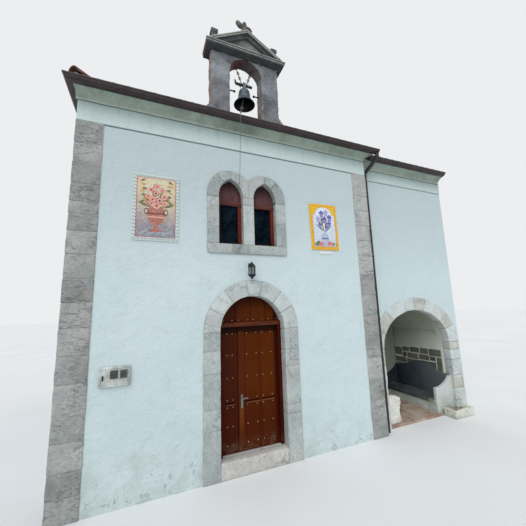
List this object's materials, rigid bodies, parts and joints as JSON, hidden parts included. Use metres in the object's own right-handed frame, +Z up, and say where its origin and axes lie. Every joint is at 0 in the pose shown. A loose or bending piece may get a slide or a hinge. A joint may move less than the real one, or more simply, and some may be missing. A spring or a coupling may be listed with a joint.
{
  "type": "small chapel",
  "caption": "Small rendered chapel with an arched doorway that opens, twin pointed windows, a bell gable with its bell, and a side bay with an arched niche and benches.",
  "frame": {"origin": "on the ground, under the middle of the doorway, on the face of the front wall", "axes": "+X along the front to the right as seen from outside, +Y into the building, +Z up"},
  "size_m": [8.66, 7.792, 8.543],
  "materials": {
    "render": "lime render, matt",
    "quoin_stone": "worn limestone",
    "dressed_stone": "worn limestone",
    "gable_stone": "weathered stone with old render",
    "roof_tile": "clay tiles",
    "floor_tile": "terracotta, worn",
    "slate": "dark slate",
    "gutter_metal": "dark red-brown paint",
    "door_wood": "varnished red-brown wood",
    "window_wood": "varnished red-brown wood",
    "window_glass": "dark glass",
    "handle_metal": "brushed steel",
    "iron": "black iron",
    "bell_bronze": "dark bronze",
    "rope": "weathered rope",
    "painted_tile": "painted glazed tile",
    "meter_plastic": "grey-white plastic"
  },
  "bodies": {
    "building": {"quoins": "quoin_stone", "floor": "floor_tile", "side_walls": "render", "back_wall": "render", "front_wall_left": "render", "front_wall_right": "render", "front_wall_over_door": "render", "front_wall_windows": "render", "door_surround": "dressed_stone", "door_threshold": "dressed_stone", "door_frame": "door_wood", "door_tympanum": "door_wood", "window_surround": "dressed_stone", "window_frames": "window_wood", "window_glass": "window_glass", "cornice": "render", "gable_wall": "render", "roof": "roof_tile", "gutter": "gutter_metal", "bell_gable": "gable_stone", "gable_pediment": "gable_stone", "gable_finials": "gable_stone", "bell_irons": "iron", "bell": "bell_bronze", "bell_rope": "rope", "bay_front_wall": "render", "niche_arch": "dressed_stone", "bay_walls": "render", "niche_vault": "render", "niche_floor": "floor_tile", "bench": "render", "bench_back": "slate", "bench_arms": "render", "niche_blocks": "render", "bay_cornice": "render", "bay_gutter": "gutter_metal", "bay_roof": "roof_tile", "downpipe": "gutter_metal", "tile_panels": "painted_tile", "meter_box": "meter_plastic", "lantern": "iron"},
    "left_leaf": {"door_leaf_left": "door_wood"},
    "right_leaf": {"door_leaf_right": "door_wood", "door_handle": "handle_metal"},
    "clapper": {"clapper": "iron"}
  },
  "joints": [
    {"name": "left_leaf_hinge", "type": "hinge", "parent": "building", "child": "left_leaf", "pos_m": [-0.5245, 0.245, 1.25], "axis": [0, 0, 1], "range_deg": [0, 90]},
    {"name": "right_leaf_hinge", "type": "hinge", "parent": "building", "child": "right_leaf", "pos_m": [0.5245, 0.245, 1.25], "axis": [0, 0, -1], "range_deg": [0, 90]},
    {"name": "clapper_swing", "type": "hinge", "parent": "building", "child": "clapper", "pos_m": [-0.055, 0.0675, 6.916], "axis": [0, 1, 0], "range_deg": [-34, 15]}
  ]
}
